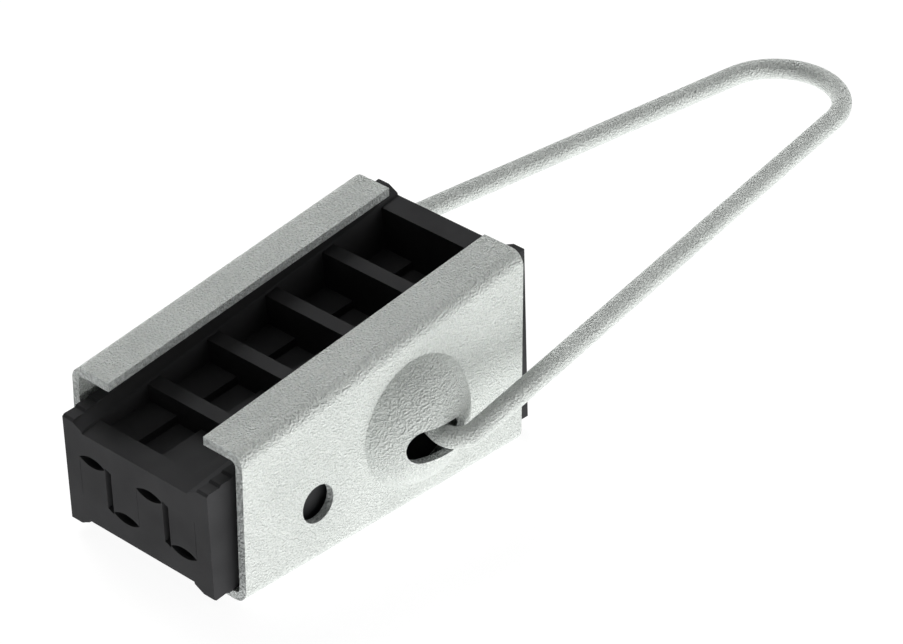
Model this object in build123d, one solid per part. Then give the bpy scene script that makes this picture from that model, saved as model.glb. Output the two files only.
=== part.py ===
from build123d import *
import os
from math import acos, atan2, cos, degrees, radians, sin, sqrt, tan

# Anchor clamp for a four-core overhead cable. A sheet-steel channel with inward flanges holds two
# moulded wedge jaws that grip the cores in four grooves, and a wire bail hooks over a pole bracket.
# Millimetres. +X runs from the cable end to the bail, +Y across, +Z up.
# The origin is the centre of the underside of the channel's floor.

# Steel body: one folded sheet
body_length = 125.5
body_width = 77.0
sheet = 3.0
bend_radius = 1.9          # inside every fold
front_height = 55.1        # top of the flange at the cable end
flange_slope = 8.08        # degrees, the flange rises towards the bail
flange_width = 17.0        # from the plate's outer face to the flange's edge
hole_diameter = 13.5       # plain hole in each plate
hole_from_front = 31.8
hole_height = 22.4

# Pressed dome with its slot, the same in each plate
dome_from_front = 75.85
dome_height = 32.7         # over the underside
dome_base_radius = 23.05
dome_rise = 14.55          # outside the plate's outer face
slot_length = 23.1
slot_width = 12.0
slot_forward = 3.15        # slot's centre ahead of the dome's
slot_drop = 0.65           # slot's centre below the dome's

# Bail: one bent wire. Each end turns in through its slot and then up inside the dome. It goes in while
# the bail stands square to the channel, when the turned-up end lies along the slot
wire_diameter = 7.3
bail_reach = 225.3         # hinge axis to the centre of the end bend
bail_bend_radius = 23.5    # centreline
eye_bend_radius = 6.45     # centreline, where each leg turns in to the dome
bail_rise = 2.58           # degrees, as it lies
hinge_lift = 0.7           # hinge axis above the dome's centre
hinge_forward = 0.85       # and ahead of it
bail_dome_gap = 1.35       # wire over the top of the dome
tip_bend_radius = 6.0      # centreline, where the end turns up
tip_angle = 22.0           # degrees, from the hinge axis
tip_length = 10.5          # straight past that bend

# Jaws: two mouldings of one design that meet on a sloping mid-plane
jaw_length = 143.0
jaw_overhang = 8.24        # ahead of the plates
jaw_side_gap = 2.65        # to each plate
jaw_flange_gap = 1.95      # pad to flange, at the bail end
wedge_angle = 10.59        # degrees, pad to pad
end_lean = 2.3             # degrees, both end faces
tooth_width = 11.75        # each of the four cable grooves
tooth_slot = 2.65          # between two neighbouring teeth
tooth_level = 7.45         # groove's centre from the mid-plane
groove_sag = 1.8           # depth of the groove in each jaw
slot_roof_high = 0.85      # slanting end of the slot, past the groove's centre
slot_roof_low = 0.35
seat_level = 7.1           # the sides sit on each other at this distance from the mid-plane
seam_gap = 0.12            # running gap where the jaws nest

# Pads, recess and cells on the outside of each jaw
pad_width = 4.7
pad_chamfer_width = 3.9
pad_chamfer_depth = 1.9
recess_half = 24.0         # from the middle to its side
recess_depth = 2.7
saw_pitch = 5.35
saw_height = 0.6
saw_rise = 0.9             # length of the tooth's steep side
front_wall = 8.1
rear_wall = 7.1
first_rib = 28.7
rib_pitch = 26.4
rib_width = 5.3
cell_count = 5
cell_floor = 13.0          # over the mid-plane
land_width = 4.5           # plain band beside the cells
relief_depth = 3.0         # the cell's floor is lower over the middle tooth
relief_inset = 0.3         # to each side of that tooth

# Worked out from the sizes above
half_width = body_width / 2
front_x = -body_length / 2
rear_x = body_length / 2
slope = radians(flange_slope)
past_end = 10.0            # how far cutting shapes run past what they cut


def flange_top(x):
    """Height of the top of the flange at x."""
    return front_height + (x - front_x) * tan(slope)


def side_prism(points, half):
    """A side view in the XZ plane, drawn out to both sides."""
    return extrude(Plane.XZ * make_face(Polyline(*points, close=True)), amount=half, both=True)


def channel_block(inset, overrun, half, radius):
    """The channel's side view, set in by a wall, with its four long edges rounded."""
    x1, x2 = front_x - overrun, rear_x + overrun
    drop = inset / cos(slope)
    corners = [(x1, inset), (x2, inset), (x2, flange_top(x2) - drop), (x1, flange_top(x1) - drop)]
    block = side_prism(corners, half)
    long_edges = [e for e in block.edges() if abs((e % 0.5).X) > 0.5]
    return fillet(long_edges, radius)


# The dome is a spherical cap, as thick as the sheet, with a crisp foot
dome_x = front_x + dome_from_front
dome_radius = (dome_base_radius**2 + dome_rise**2) / (2 * dome_rise)
dome_top_y = half_width + dome_rise
dome_centre_y = dome_top_y - dome_radius
dome_hollow_radius = dome_radius - sheet
dome_mouth_radius = sqrt(dome_hollow_radius**2 - (half_width - sheet - dome_centre_y) ** 2)


def pressed_dome():
    """The far plate's dome: the sheet's section, turned about the dome's axis."""
    foot = (dome_base_radius, half_width)
    mouth = (dome_mouth_radius, half_width - sheet)
    wall = [
        RadiusArc(foot, (0, dome_top_y), -dome_radius),
        Line((0, dome_top_y), (0, dome_top_y - sheet)),
        RadiusArc((0, dome_top_y - sheet), mouth, dome_hollow_radius),
        Line(mouth, (dome_mouth_radius, half_width)),
        Line((dome_mouth_radius, half_width), foot),
    ]
    section = Pos(dome_x, 0, dome_height) * make_face(wall)
    return revolve(section, axis=Axis((dome_x, 0, dome_height), (0, 1, 0)))


def cut_across(body, shape, x, z):
    """Cuts a flat shape through both side plates."""
    return body - extrude(Plane.XZ * Pos(x, z) * shape, amount=dome_top_y + past_end, both=True)


def steel_body():
    body = channel_block(0, 0, half_width, bend_radius + sheet)
    body -= channel_block(sheet, past_end, half_width - sheet, bend_radius)
    mouth = body_width - 2 * flange_width
    top = flange_top(rear_x) + past_end
    body -= Pos(0, 0, top / 2 + sheet + bend_radius) * Box(body_length + past_end, mouth, top)
    body = cut_across(body, Circle(dome_mouth_radius), dome_x, dome_height)
    far_dome = pressed_dome()
    body += [far_dome, mirror(far_dome, Plane.XZ)]
    slot = SlotOverall(slot_length, slot_width)
    body = cut_across(body, slot, dome_x - slot_forward, dome_height - slot_drop)
    return cut_across(body, Circle(hole_diameter / 2), front_x + hole_from_front, hole_height)


# The bail lies in one plane through its hinge axis
hinge_x = dome_x - hinge_forward
hinge_z = dome_height + hinge_lift
wire_radius = wire_diameter / 2
eye_y = dome_top_y + bail_dome_gap + wire_radius - eye_bend_radius


def bail():
    rise = radians(bail_rise)
    lie = Plane(origin=(hinge_x, 0, hinge_z), x_dir=(cos(rise), 0, sin(rise)), z_dir=(-sin(rise), 0, cos(rise)))
    # each leg is the common tangent of the eye bend and the end bend
    along = bail_reach - eye_bend_radius
    apart = sqrt(along**2 + eye_y**2)
    splay = acos((bail_bend_radius - eye_bend_radius) / apart) - atan2(along, eye_y)
    eye_arc = 90 + degrees(splay)
    end_arc = 180 - 2 * degrees(splay)
    eye = CenterArc((eye_bend_radius, eye_y), eye_bend_radius, 180, -eye_arc)
    end = CenterArc((bail_reach, 0), bail_bend_radius, end_arc / 2, -end_arc)
    lift = radians(tip_angle)
    tip_way = Vector(0, -cos(lift), sin(lift))
    turn = Vector(0, eye_y - tip_bend_radius * sin(lift), tip_bend_radius * (1 - cos(lift)))
    tip = Line(turn + tip_way * tip_length, turn)
    half = tip + [TangentArc(turn, eye @ 0, tangent=tip % 1), eye, Line(eye @ 1, end @ 0)]
    path = half + end + mirror(half, Plane.XZ)
    start = lie * Plane(origin=tip @ 0, z_dir=tip % 0)
    return sweep(start * Circle(wire_radius), path=lie * path)


# The jaws' wedge, in side view
pad_bottom = sheet + saw_height
pad_rear_top = flange_top(rear_x) - sheet / cos(slope) - jaw_flange_gap
wedge = radians(wedge_angle)
half_wedge = wedge / 2
apex_x = rear_x - (pad_rear_top - pad_bottom) / tan(wedge)
jaw_front = front_x - jaw_overhang
jaw_half = half_width - sheet - jaw_side_gap
mid_z = pad_bottom + (jaw_front - apex_x) * tan(half_wedge)
pad_distance = (mid_z - pad_bottom) * cos(half_wedge)


def end_top(bottom):
    """Top of an end face that leans towards the cable end from its bottom corner."""
    lean = tan(radians(end_lean))
    rise = (bottom[0] - apex_x) * tan(wedge) / (1 + lean * tan(wedge))
    return (bottom[0] - rise * lean, bottom[1] + rise)


front_low = (jaw_front, pad_bottom)
rear_low = (jaw_front + jaw_length, pad_bottom)
front_top = end_top(front_low)
rear_top = end_top(rear_low)


def nesting_section():
    """End view of a jaw: its outside upwards, the mid-plane at 0, two teeth that nest in the other jaw."""
    pitch = 2 * tooth_width + tooth_slot
    play = seam_gap / 2
    roof = tooth_level + play
    tip = play - tooth_level
    tall = 3 * pad_distance
    corners = [(jaw_half, -seat_level), (pitch + play, -seat_level)]
    for start in (pitch, 0):
        slot_start = start - tooth_width
        slot_stop = slot_start - tooth_slot
        corners += [(start + play, roof), (slot_start, roof), (slot_start, roof + slot_roof_high)]
        corners += [(slot_stop, roof - slot_roof_low), (slot_stop, tip), (start - pitch + play, tip)]
    corners += [(play - pitch, seat_level), (-jaw_half, seat_level), (-jaw_half, tall), (jaw_half, tall)]
    section = make_face(Polyline(*corners, close=True))
    for start in (pitch, 0):
        section -= cable_groove(start - tooth_width / 2, tooth_level)
        section -= cable_groove(start - pitch + tooth_width / 2, -tooth_level)
    return section


def cable_groove(y, level):
    """Lens-shaped opening for one core, half of it in each jaw."""
    radius = (tooth_width**2 / 4 + groove_sag**2) / (2 * groove_sag)
    offset = radius - groove_sag
    return Pos(y, level - offset) * Circle(radius) & Pos(y, level + offset) * Circle(radius)


def recess_section():
    """Shallow trough between the two pads, with sloping sides."""
    rim = jaw_half - pad_width
    foot = rim - pad_chamfer_width
    half = [(rim, past_end), (rim, 0), (foot, -pad_chamfer_depth), (recess_half, -recess_depth)]
    other = [(-y, depth) for y, depth in reversed(half)]
    return make_face(Polyline(*half, *other, close=True))


def pad_saw(length):
    """Side view of a pad's saw teeth: steep towards the cable end, backed by a strip inside the jaw."""
    count = int(length / saw_pitch)
    points = [(0, -saw_height), (0, 0)]
    for k in range(count):
        points += [(k * saw_pitch + saw_rise, saw_height), ((k + 1) * saw_pitch, 0)]
    points.append((count * saw_pitch, -saw_height))
    return make_face(Polyline(*points, close=True))


def jaw(across, pad_start, pad_angle):
    """One jaw: across is +1 for the upper one and -1 for the lower one, turned half round."""
    along = (cos(half_wedge), 0, sin(half_wedge))
    mid = Plane(origin=(jaw_front, 0, mid_z), x_dir=(0, across, 0), z_dir=along)
    pad_along = (cos(pad_angle), 0, sin(pad_angle))
    pad = Plane(origin=(pad_start[0], 0, pad_start[1]), x_dir=(0, across, 0), z_dir=pad_along)
    run = jaw_length + 2 * past_end

    body = extrude(mid.offset(-past_end) * nesting_section(), amount=run)
    body &= side_prism([front_low, rear_low, rear_top, front_top], jaw_half)
    body -= extrude(pad.offset(-past_end) * recess_section(), amount=run)

    tall = 2 * pad_distance
    cell_left = recess_half
    cell_right = land_width - recess_half
    for k in range(cell_count):
        start = front_wall if k == 0 else first_rib + (k - 1) * rib_pitch + rib_width
        stop = jaw_length - rear_wall if k == cell_count - 1 else first_rib + k * rib_pitch
        middle = (start + stop) / 2
        size = stop - start
        cell = Box(cell_left - cell_right, tall, size)
        body -= mid * Pos((cell_left + cell_right) / 2, cell_floor + tall / 2, middle) * cell
        relief = Box(tooth_width - 2 * relief_inset, 2 * relief_depth, size)
        body -= mid * Pos(tooth_width / 2, cell_floor, middle) * relief

    side_view = Plane(origin=pad.origin, x_dir=pad.z_dir, z_dir=-pad.x_dir)
    row = extrude(side_view * pad_saw(jaw_length), amount=pad_width)
    for edge in (jaw_half, pad_width - jaw_half):
        body += Pos(0, across * edge, 0) * row
    return body


def main():
    os.makedirs("parts", exist_ok=True)
    nodes = {
        "steel_body": steel_body(),
        "bail": bail(),
        "upper_jaw": jaw(1, front_top, wedge),
        "lower_jaw": jaw(-1, front_low, 0),
    }
    for name, solid in nodes.items():
        print(name, len(solid.solids()), round(solid.volume), solid.bounding_box())
        export_step(solid, f"parts/{name}.step")


main()
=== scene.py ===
import bmesh
import bpy
from math import cos, degrees, radians, sin
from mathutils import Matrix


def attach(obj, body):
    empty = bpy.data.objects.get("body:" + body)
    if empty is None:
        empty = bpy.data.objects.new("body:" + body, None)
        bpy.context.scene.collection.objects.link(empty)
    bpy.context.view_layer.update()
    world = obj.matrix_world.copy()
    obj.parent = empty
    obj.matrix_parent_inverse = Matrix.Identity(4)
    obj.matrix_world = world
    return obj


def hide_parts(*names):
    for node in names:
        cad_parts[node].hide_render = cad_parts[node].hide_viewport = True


# Anchor clamp for a four-core overhead cable: a zinc-coated sheet channel, two moulded wedge jaws
# and a wire bail. Metres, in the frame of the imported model: +X from the cable end to the bail.

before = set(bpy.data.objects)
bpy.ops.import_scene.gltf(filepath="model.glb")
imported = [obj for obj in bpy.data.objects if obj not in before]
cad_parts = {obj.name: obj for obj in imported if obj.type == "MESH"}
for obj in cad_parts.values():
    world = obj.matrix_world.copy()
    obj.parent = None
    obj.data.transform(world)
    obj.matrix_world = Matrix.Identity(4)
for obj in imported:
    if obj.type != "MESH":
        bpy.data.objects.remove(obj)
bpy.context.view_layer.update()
scene = bpy.context.scene
scene.view_settings.view_transform = "Standard"

# The photograph's frame
IMAGE_WIDTH = 903
FOCAL_PIXELS = 3989.8
SENSOR = 36.0              # millimetres
CAMERA_PLACE = (-0.74522, -0.77488, 0.73001)
CAMERA_TURN = (57.992, 0.0, -46.449)
CAMERA_REACH = 50.0

# The channel's sheet
SHEET = 0.003
PLATE_FACE = 0.0385        # outer face of each side plate, from the middle
FLANGE_EDGE = 0.0215       # long edge of each flange, from the middle
CUT_NEAR = 0.0005          # a face no farther out than this past that edge belongs to it
SQUARE_ON = 0.9            # share of a face's normal along an axis that it squarely faces
EDGE_ON = 0.1              # and along one that it stands edge-on to

# The domes' feet, where the pressing leaves the plate
DOME_BLEND = 0.0028        # asked of the bevel, which the small facets beside it hold to 0.0002
DOME_SHOULDER = 0.004      # out from the plate, where the skin is stretched in full
DOME_STRETCH = 1.1         # height of the grain there, against the plate's
ON_PLATE = 0.00002         # a point this near the plate's face lies in it
STEEPEST_FOOT = 85.0       # degrees, a steeper fold is the rim of a hole or slot

# Edges of the steel and of the mouldings
STEEL_EDGE = 0.00045       # the coat rounds each sheared edge
MOULD_EDGE = 0.00010       # mould edges stay crisp
HARD_ANGLE = 28.0          # degrees, a sharper fold than this is an edge
FLAT_ANGLE = 0.4           # degrees, triangles flatter than this are one face
MERGE = 0.000002           # corners this near to each other are one

# Colours, sRGB
ZINC_COAT = "e3e7e3"
# painted shade: the darker grey drawn into the grain's pits
ZINC_PIT_SHADE = "c7ccc8"
SHEARED_COAT = "d8dcda"
SHEARED_STREAK = "b0b4b2"
MOULD_BLACK = "383839"
MOULD_SCUFF = "404041"
FLOOR_WHITE = "f4f4f4"

# Patterns: cells of noise in a metre
ZINC_GRAIN = 1400.0        # 0.7 mm, the crust's grain
ZINC_CLOUD = 45.0          # 22 mm, soft clouds in the coat's grey
SHEARED_GRAIN = 1300.0     # 0.8 mm, torn metal under the coat
SHEARED_SCORES = 700.0     # 1.4 mm, scores in the torn metal
MOULD_GRAIN = 2200.0       # 0.45 mm, the spark-eroded tool's grain
MOULD_FLOW = 60.0          # 17 mm, where the melt ran together
CLOUD_SHARE = 0.3          # of the zinc's grey, beside the painted shade in the grain's pits

# Relief: how high the bump stands where the noise is 1, drawn deep enough to show in the render
PLATE_RELIEF = 0.0011
WIRE_RELIEF = 0.0010
SHEARED_RELIEF = 0.0014
MOULD_RELIEF = 0.00006

# Light on the object: a lit white table and soft boxes of light round it. Each box has its
# strength, its azimuth and elevation in degrees, and the angle from its middle at which it has
# faded out
TABLE_LIGHT = 1.08
TABLE_RIM = -0.21          # height at which the table's light ends, as a sine
TABLE_FADE = 0.05          # over this much to each side of its rim
NEAR_BOX = (1.75, 297.0, 0.0, 46.0)
NEAR_LOW_BOX = (1.35, 256.0, -34.0, 60.0)
FAR_BOX = (10.4, 63.0, 40.0, 22.0)
FAR_LOW_BOX = (4.2, 103.0, -27.0, 32.0)
TOP_BOX = (1.1, 159.0, 84.0, 24.0)
SOFT_BOXES = (NEAR_BOX, NEAR_LOW_BOX, FAR_BOX, FAR_LOW_BOX, TOP_BOX)
WHITE = (1, 1, 1, 1)

# The floor
FLOOR_HALF = 6.0
FLOOR_SHOW = 0.8           # share of the floor's white that no shadow darkens
FLOOR_GLOW = 1.17          # makes up for the share that the dim room leaves grey


def linear(code):
    """An sRGB hex colour as the linear colour that Blender wants."""
    channels = [int(code[k:k + 2], 16) / 255 for k in (0, 2, 4)]
    return [c / 12.92 if c <= 0.04045 else ((c + 0.055) / 1.055) ** 2.4 for c in channels] + [1.0]


def add(tree, kind, inputs=None, **settings):
    """Adds a node with its settings. inputs holds a value for a socket, or the output it takes."""
    node = tree.nodes.new(kind)
    for name, value in settings.items():
        setattr(node, name, value)
    for socket, value in (inputs or {}).items():
        if isinstance(value, bpy.types.NodeSocket):
            tree.links.new(value, node.inputs[socket])
        else:
            node.inputs[socket].default_value = value
    return node


def new_material(name):
    """An empty node material, its tree and the object's own coordinates."""
    material = bpy.data.materials.new(name)
    material.use_nodes = True
    tree = material.node_tree
    tree.nodes.clear()
    place = add(tree, "ShaderNodeTexCoord").outputs["Object"]
    return material, tree, place


def blend_colours(tree, amount, first, second):
    """Mixes two hex colours by a 0 to 1 output."""
    colours = {0: amount, 6: linear(first), 7: linear(second)}
    return add(tree, "ShaderNodeMix", colours, data_type="RGBA").outputs[2]


def dome_stretch(tree, place):
    """The grain's height: 1 on the plates, rising to the stretched skin's on the domes."""
    across = add(tree, "ShaderNodeSeparateXYZ", {0: place}).outputs["Y"]
    out = add(tree, "ShaderNodeMath", {0: across}, operation="ABSOLUTE")
    stretch = add(tree, "ShaderNodeMapRange", {
        "Value": out.outputs[0],
        "From Min": PLATE_FACE, "From Max": PLATE_FACE + DOME_SHOULDER,
        "To Min": 1.0, "To Max": DOME_STRETCH})
    return stretch.outputs[0]


def zinc_coat(name, relief):
    """Thermal-diffusion zinc on pickled steel, left as it came from the drum: a matt pale grey
    crust, so the eye sees a fine even grain of about 0.7 mm, with shade painted darker into its
    pits, soft clouds of grey and hardly any mirror reflection. The pressing has stretched the
    domes' skin, so the grain is coarser to the eye there."""
    material, tree, place = new_material(name)
    grain = add(tree, "ShaderNodeTexNoise", {
        "Vector": place, "Scale": ZINC_GRAIN, "Detail": 1.0, "Roughness": 0.5})
    cloud = add(tree, "ShaderNodeTexNoise", {
        "Vector": place, "Scale": ZINC_CLOUD, "Detail": 3.0, "Roughness": 0.6})
    height = add(tree, "ShaderNodeMath", {
        0: grain.outputs[0], 1: dome_stretch(tree, place)}, operation="MULTIPLY")
    bump = add(tree, "ShaderNodeBump", {
        "Height": height.outputs[0], "Strength": 1.0, "Distance": relief})
    # painted shade: the grain's pits are drawn in a darker grey
    painted_pit_shade = add(tree, "ShaderNodeMapRange", {
        "Value": grain.outputs[0], "From Min": 0.65, "From Max": 0.35})
    haze = add(tree, "ShaderNodeMapRange", {
        "Value": cloud.outputs[0], "From Min": 0.35, "From Max": 0.7})
    # mixes the painted pit shade with the coat's own clouds of grey
    shade = add(tree, "ShaderNodeMix", {
        0: CLOUD_SHARE, 2: painted_pit_shade.outputs[0], 3: haze.outputs[0]})
    shader = add(tree, "ShaderNodeBsdfPrincipled", {
        "Base Color": blend_colours(tree, shade.outputs[0], ZINC_COAT, ZINC_PIT_SHADE),
        "Roughness": 0.55, "Specular IOR Level": 0.5, "Normal": bump.outputs[0]})
    add(tree, "ShaderNodeOutputMaterial", {"Surface": shader.outputs[0]})
    return material


def sheared_zinc(name):
    """The same coat on the sheet's sheared and punched faces. The torn metal under it is rough and
    scored, so the eye sees a darker, dirtier grey than on the rolled faces."""
    material, tree, place = new_material(name)
    grain = add(tree, "ShaderNodeTexNoise", {
        "Vector": place, "Scale": SHEARED_GRAIN, "Detail": 1.0, "Roughness": 0.5})
    scores = add(tree, "ShaderNodeTexNoise", {
        "Vector": place, "Scale": SHEARED_SCORES, "Detail": 2.0, "Roughness": 0.6})
    bump = add(tree, "ShaderNodeBump", {
        "Height": grain.outputs[0], "Strength": 1.0, "Distance": SHEARED_RELIEF})
    shade = add(tree, "ShaderNodeMapRange", {
        "Value": scores.outputs[0], "From Min": 0.35, "From Max": 0.65})
    shader = add(tree, "ShaderNodeBsdfPrincipled", {
        "Base Color": blend_colours(tree, shade.outputs[0], SHEARED_COAT, SHEARED_STREAK),
        "Roughness": 0.7, "Specular IOR Level": 0.3, "Normal": bump.outputs[0]})
    add(tree, "ShaderNodeOutputMaterial", {"Surface": shader.outputs[0]})
    return material


def moulded_polyamide(name):
    """Glass-filled polyamide, carbon-black for the weather, moulded in a spark-eroded tool: matt
    black with a fine even grain of about 0.45 mm that greys the surface a little in the light."""
    material, tree, place = new_material(name)
    grain = add(tree, "ShaderNodeTexNoise", {
        "Vector": place, "Scale": MOULD_GRAIN, "Detail": 1.0, "Roughness": 0.5})
    flow = add(tree, "ShaderNodeTexNoise", {
        "Vector": place, "Scale": MOULD_FLOW, "Detail": 2.0, "Roughness": 0.5})
    bump = add(tree, "ShaderNodeBump", {
        "Height": grain.outputs[0], "Strength": 0.6, "Distance": MOULD_RELIEF})
    shade = add(tree, "ShaderNodeMapRange", {
        "Value": flow.outputs[0], "From Min": 0.3, "From Max": 0.7})
    shader = add(tree, "ShaderNodeBsdfPrincipled", {
        "Base Color": blend_colours(tree, shade.outputs[0], MOULD_BLACK, MOULD_SCUFF),
        "Roughness": 0.7, "Specular IOR Level": 0.025, "Normal": bump.outputs[0]})
    add(tree, "ShaderNodeOutputMaterial", {"Surface": shader.outputs[0]})
    return material


def placed(name, data):
    """A new object in the scene, at the origin."""
    thing = bpy.data.objects.new(name, data)
    scene.collection.objects.link(thing)
    return thing


def sheared_faces(mesh):
    """Gives the channel's cut faces the second material: its ends, the walls of its holes and
    slots, and the flanges' long edges."""
    for face in mesh.polygons:
        along, across, _ = face.normal
        out = abs(face.center.y)
        punched = out > PLATE_FACE - SHEET and abs(across) < EDGE_ON
        flange_edge = out < FLANGE_EDGE + CUT_NEAR and abs(across) > SQUARE_ON
        if abs(along) > SQUARE_ON or punched or flange_edge:
            face.material_index = 1


def blended_feet(shape):
    """Rounds the hollow edge where each dome leaves its plate."""
    feet = [edge for edge in shape.edges
            if all(abs(abs(corner.co.y) - PLATE_FACE) < ON_PLATE for corner in edge.verts)
            and HARD_ANGLE < -degrees(edge.calc_face_angle_signed(0)) < STEEPEST_FOOT]
    bmesh.ops.bevel(shape, geom=feet, offset=DOME_BLEND, offset_type="OFFSET", affect="EDGES",
                    segments=5, profile=0.5, material=-1, clamp_overlap=True)


def dressed(node, name, body, material, edge):
    """A copy of a CAD node with its triangles joined to flat faces and its sharp edges broken."""
    shape = bmesh.new()
    shape.from_mesh(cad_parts[node].data)
    bmesh.ops.remove_doubles(shape, verts=shape.verts, dist=MERGE)
    bmesh.ops.dissolve_limit(shape, angle_limit=radians(FLAT_ANGLE),
                             verts=shape.verts, edges=shape.edges)
    if node == "steel_body":
        blended_feet(shape)
    mesh = bpy.data.meshes.new(name)
    shape.to_mesh(mesh)
    shape.free()
    piece = placed(name, mesh)
    mesh.shade_smooth()
    mesh.set_sharp_from_angle(angle=radians(HARD_ANGLE))
    mesh.materials.append(material)
    bevel = piece.modifiers.new("broken edges", "BEVEL")
    bevel.width = edge
    bevel.segments = 2
    bevel.material = 0
    bevel.limit_method = "ANGLE"
    bevel.angle_limit = radians(HARD_ANGLE)
    faces = piece.modifiers.new("flat faces stay flat", "WEIGHTED_NORMAL")
    faces.keep_sharp = True
    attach(piece, body)
    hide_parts(node)
    return piece


def photograph_camera():
    """The camera, fitted to the photograph."""
    lens = bpy.data.cameras.new("camera")
    lens.sensor_width = SENSOR
    lens.lens = FOCAL_PIXELS / IMAGE_WIDTH * SENSOR
    lens.clip_end = CAMERA_REACH
    camera = placed("camera", lens)
    camera.location = CAMERA_PLACE
    camera.rotation_euler = [radians(angle) for angle in CAMERA_TURN]
    scene.camera = camera


def seen_directly(tree):
    """1 for camera, mirror and transmission rays, which see the background white."""
    path = add(tree, "ShaderNodeLightPath").outputs
    shiny = add(tree, "ShaderNodeMath", {
        0: path["Is Glossy Ray"], 1: path["Is Transmission Ray"]}, operation="ADD")
    seen = add(tree, "ShaderNodeMath", {
        0: path["Is Camera Ray"], 1: shiny.outputs[0]}, operation="ADD")
    return seen.outputs[0]


def soft_box(tree, way, below, strength, azimuth, elevation, spread):
    """Adds a round soft light to the world: brightest in its middle, faded out at the spread."""
    around, up = radians(azimuth), radians(elevation)
    middle = (cos(up) * cos(around), cos(up) * sin(around), sin(up))
    facing = add(tree, "ShaderNodeVectorMath", {0: way, 1: middle}, operation="DOT_PRODUCT")
    light = add(tree, "ShaderNodeMapRange", {
        "Value": facing.outputs["Value"], "From Min": cos(radians(spread)), "To Max": strength})
    total = add(tree, "ShaderNodeMath", {0: below, 1: light.outputs[0]}, operation="ADD")
    return total.outputs[0]


def lit_room():
    """The world: the lit table below and the soft boxes round the object."""
    world = bpy.data.worlds.new("studio")
    scene.world = world
    world.use_nodes = True
    tree = world.node_tree
    tree.nodes.clear()
    way = add(tree, "ShaderNodeTexCoord").outputs["Generated"]
    height = add(tree, "ShaderNodeSeparateXYZ", {0: way}).outputs["Z"]
    table = add(tree, "ShaderNodeMapRange", {
        "Value": height, "From Min": TABLE_RIM + TABLE_FADE, "From Max": TABLE_RIM - TABLE_FADE,
        "To Max": TABLE_LIGHT})
    light = table.outputs[0]
    for box in SOFT_BOXES:
        light = soft_box(tree, way, light, *box)
    strength = add(tree, "ShaderNodeMix", {0: seen_directly(tree), 2: light, 3: 1.0})
    sky = add(tree, "ShaderNodeBackground", {"Color": WHITE, "Strength": strength.outputs[0]})
    add(tree, "ShaderNodeOutputWorld", {"Surface": sky.outputs[0]})


def white_floor():
    """The white floor under the object, with a faint shadow."""
    shape = bmesh.new()
    bmesh.ops.create_grid(shape, x_segments=1, y_segments=1, size=FLOOR_HALF)
    mesh = bpy.data.meshes.new("floor")
    shape.to_mesh(mesh)
    shape.free()
    floor = placed("floor", mesh)
    material, tree, _ = new_material("matt white floor")
    matt = add(tree, "ShaderNodeBsdfDiffuse", {"Color": linear(FLOOR_WHITE)})
    glow = add(tree, "ShaderNodeEmission", {"Color": WHITE, "Strength": FLOOR_GLOW})
    share = add(tree, "ShaderNodeMapRange", {
        "Value": seen_directly(tree), "To Min": 0.0, "To Max": FLOOR_SHOW})
    mix = add(tree, "ShaderNodeMixShader", {
        0: share.outputs[0], 1: matt.outputs[0], 2: glow.outputs[0]})
    add(tree, "ShaderNodeOutputMaterial", {"Surface": mix.outputs[0]})
    mesh.materials.append(material)
    floor.visible_diffuse = False
    floor.visible_shadow = False


def clamp():
    """The clamp's four pieces, each dressed over its CAD node."""
    steel = zinc_coat("zinc diffusion coat", PLATE_RELIEF)
    wire = zinc_coat("zinc diffusion coat on wire", WIRE_RELIEF)
    plastic = moulded_polyamide("moulded black polyamide")
    channel = dressed("steel_body", "channel", "channel", steel, STEEL_EDGE)
    channel.data.materials.append(sheared_zinc("zinc diffusion coat on sheared faces"))
    sheared_faces(channel.data)
    dressed("bail", "bail_wire", "bail_loop", wire, STEEL_EDGE)
    dressed("upper_jaw", "upper_wedge_jaw", "upper_wedge", plastic, MOULD_EDGE)
    dressed("lower_jaw", "lower_wedge_jaw", "lower_wedge", plastic, MOULD_EDGE)


def main():
    photograph_camera()
    lit_room()
    white_floor()
    clamp()


main()
